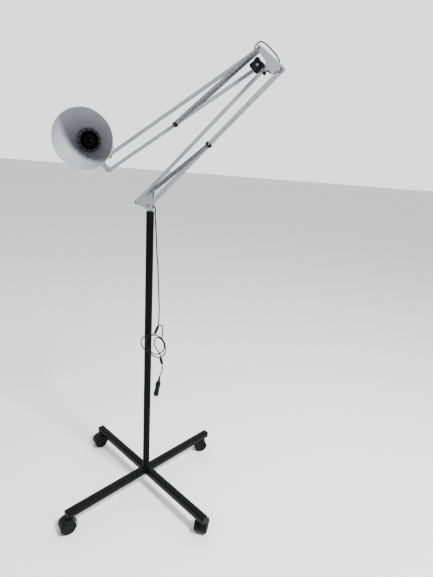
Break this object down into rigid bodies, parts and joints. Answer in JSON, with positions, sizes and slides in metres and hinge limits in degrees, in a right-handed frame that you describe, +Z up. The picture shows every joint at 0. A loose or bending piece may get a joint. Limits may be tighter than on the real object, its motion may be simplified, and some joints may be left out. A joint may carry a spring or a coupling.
{
  "type": "pharmacy floor lamp",
  "caption": "Floor lamp with a bell shade on a spring-balanced folding arm, standing on a black pole with a cross base on casters.",
  "frame": {"origin": "the pole's axis at floor level", "axes": "+Z up, +X from the pole towards the elbow of the arms at rest, +Y along the arm pivots away from the clamp knob"},
  "size_m": [0.7059, 0.6219, 1.5716],
  "materials": {
    "black_paint": "semi-gloss",
    "grey_paint": "satin",
    "black_plastic": "satin",
    "wheel_black": "matte",
    "steel": "zinc plated",
    "spring_steel": "oiled",
    "brass": "plain",
    "cord_black": "matte"
  },
  "bodies": {
    "stand": {"long_leg_tube": "black_paint", "front_leg_tube": "black_paint", "back_leg_tube": "black_paint", "leg_cap_front_left": "black_plastic", "leg_cap_front_right": "black_plastic", "leg_cap_back_left": "black_plastic", "leg_cap_back_right": "black_plastic", "pole_tube": "black_paint", "pole_bolt": "steel", "pole_top_bushing": "black_plastic"},
    "caster_front_left": {"caster_hood_front_left": "black_plastic"},
    "wheels_front_left": {"caster_wheels_front_left": "wheel_black"},
    "brake": {"brake_lever": "black_plastic"},
    "caster_front_right": {"caster_hood_front_right": "black_plastic"},
    "wheels_front_right": {"caster_wheels_front_right": "wheel_black"},
    "caster_back_left": {"caster_hood_back_left": "black_plastic"},
    "wheels_back_left": {"caster_wheels_back_left": "wheel_black"},
    "caster_back_right": {"caster_hood_back_right": "black_plastic"},
    "wheels_back_right": {"caster_wheels_back_right": "wheel_black"},
    "arm_base": {"arm_bracket": "grey_paint", "pivot_bolt_a": "steel", "pivot_bolt_b": "steel", "cord_grommet": "black_plastic", "cord_drop": "cord_black", "cord_tie_top": "cord_black", "cord_coil": "cord_black", "cord_tie_bottom": "cord_black", "cord_tail": "cord_black", "plug": "black_plastic"},
    "lower_link": {"lower_link_bar": "grey_paint", "elbow_cord_clip": "black_plastic"},
    "lower_main": {"lower_main_bar": "grey_paint", "lower_spring_clip": "black_plastic", "lower_spring_near": "spring_steel", "lower_spring_far": "spring_steel"},
    "elbow": {"elbow_plate_near": "grey_paint", "elbow_plate_far": "grey_paint", "elbow_bolt_link": "steel", "elbow_bolt_main": "steel", "elbow_bolt_top": "steel", "knob_bolt": "steel", "elbow_cord_loop": "cord_black"},
    "knob": {"elbow_knob": "black_plastic"},
    "upper_main": {"upper_main_bar": "grey_paint", "upper_spring_collar": "black_plastic", "upper_spring_near": "spring_steel", "upper_spring_far": "spring_steel"},
    "upper_top": {"upper_top_bar": "grey_paint"},
    "head_link": {"head_link": "grey_paint", "head_bolt_low": "steel", "head_bolt_high": "steel", "head_cord": "cord_black"},
    "knuckle": {"head_knuckle": "grey_paint"},
    "tilt_screw": {"tilt_bolt": "black_plastic"},
    "head": {"shade": "grey_paint", "socket_cap": "black_plastic", "lampholder": "black_plastic", "lampholder_shell": "brass", "tilt_tab": "grey_paint"},
    "switch": {"switch_knob": "black_plastic"}
  },
  "joints": [
    {"name": "caster_swivel_front_left", "type": "hinge", "parent": "stand", "child": "caster_front_left", "pos_m": [-0.1585, -0.27453, 0.058], "axis": [0, 0, 1], "continuous": true},
    {"name": "wheel_spin_front_left", "type": "hinge", "parent": "caster_front_left", "child": "wheels_front_left", "pos_m": [-0.1675, -0.28525, 0.025], "axis": [0.766, -0.6428, 0], "continuous": true},
    {"name": "brake_hinge", "type": "hinge", "parent": "caster_front_left", "child": "brake", "pos_m": [-0.14924, -0.2635, 0.035], "axis": [0.766, -0.6428, 0], "range_deg": [0, 30]},
    {"name": "caster_swivel_front_right", "type": "hinge", "parent": "stand", "child": "caster_front_right", "pos_m": [0.27453, -0.1585, 0.058], "axis": [0, 0, 1], "continuous": true},
    {"name": "wheel_spin_front_right", "type": "hinge", "parent": "caster_front_right", "child": "wheels_front_right", "pos_m": [0.27453, -0.1445, 0.025], "axis": [-1, 0, 0], "continuous": true},
    {"name": "caster_swivel_back_left", "type": "hinge", "parent": "stand", "child": "caster_back_left", "pos_m": [-0.27453, 0.1585, 0.058], "axis": [0, 0, 1], "continuous": true},
    {"name": "wheel_spin_back_left", "type": "hinge", "parent": "caster_back_left", "child": "wheels_back_left", "pos_m": [-0.28353, 0.14777, 0.025], "axis": [0.766, -0.6428, 0], "continuous": true},
    {"name": "caster_swivel_back_right", "type": "hinge", "parent": "stand", "child": "caster_back_right", "pos_m": [0.1585, 0.27453, 0.058], "axis": [0, 0, 1], "continuous": true},
    {"name": "wheel_spin_back_right", "type": "hinge", "parent": "caster_back_right", "child": "wheels_back_right", "pos_m": [0.14638, 0.26753, 0.025], "axis": [0.5, -0.866, 0], "continuous": true},
    {"name": "arm_swivel", "type": "hinge", "parent": "stand", "child": "arm_base", "pos_m": [0, 0, 1.0814], "axis": [0, 0, 1], "range_deg": [-180, 180]},
    {"name": "lower_arm", "type": "hinge", "parent": "arm_base", "child": "lower_link", "pos_m": [-0.04582, 0, 1.10901], "axis": [0, -1, 0], "range_deg": [-6, 45]},
    {"name": "lower_arm_main", "type": "hinge", "parent": "arm_base", "child": "lower_main", "pos_m": [0, 0, 1.105], "axis": [0, -1, 0], "range_deg": [-6, 45], "deforming": ["lower_spring_near", "lower_spring_far"]},
    {"name": "elbow_level", "type": "hinge", "parent": "lower_link", "child": "elbow", "pos_m": [0.33312, 0, 1.50764], "axis": [0, -1, 0], "range_deg": [-45, 6], "deforming": ["elbow_cord_loop"]},
    {"name": "knob_turn", "type": "hinge", "parent": "elbow", "child": "knob", "pos_m": [0.31212, -0.02, 1.50764], "axis": [0, -1, 0], "range_deg": [0, 360]},
    {"name": "upper_arm", "type": "hinge", "parent": "elbow", "child": "upper_main", "pos_m": [0.31212, 0, 1.50764], "axis": [0, 1, 0], "range_deg": [-4, 70], "deforming": ["upper_spring_near", "upper_spring_far"]},
    {"name": "upper_arm_top", "type": "hinge", "parent": "elbow", "child": "upper_top", "pos_m": [0.31212, 0, 1.55364], "axis": [0, 1, 0], "range_deg": [-4, 70]},
    {"name": "head_level", "type": "hinge", "parent": "upper_main", "child": "head_link", "pos_m": [-0.14439, 0, 1.20087], "axis": [0, 1, 0], "range_deg": [-70, 4]},
    {"name": "head_swivel", "type": "hinge", "parent": "head_link", "child": "knuckle", "pos_m": [-0.15499, 0, 1.2577], "axis": [0, 0, 1], "range_deg": [-115, 18], "deforming": ["head_cord"]},
    {"name": "tilt_screw_turn", "type": "hinge", "parent": "knuckle", "child": "tilt_screw", "pos_m": [-0.14247, 0.00506, 1.2704], "axis": [0.9272, 0.3746, 0], "range_deg": [0, 360]},
    {"name": "head_tilt", "type": "hinge", "parent": "knuckle", "child": "head", "pos_m": [-0.15499, 0, 1.2704], "axis": [-0.9272, -0.3746, 0], "range_deg": [-45, 60]},
    {"name": "switch_turn", "type": "hinge", "parent": "head", "child": "switch", "pos_m": [-0.22289, 0.03458, 1.2889], "axis": [-0.3746, 0.9272, 0], "range_deg": [0, 90]}
  ],
  "couplings": [
    {"joint": "lower_arm_main", "follows": "lower_arm", "ratio": 1},
    {"joint": "elbow_level", "follows": "lower_arm", "ratio": -1},
    {"joint": "upper_arm_top", "follows": "upper_arm", "ratio": 1},
    {"joint": "head_level", "follows": "upper_arm", "ratio": -1}
  ]
}
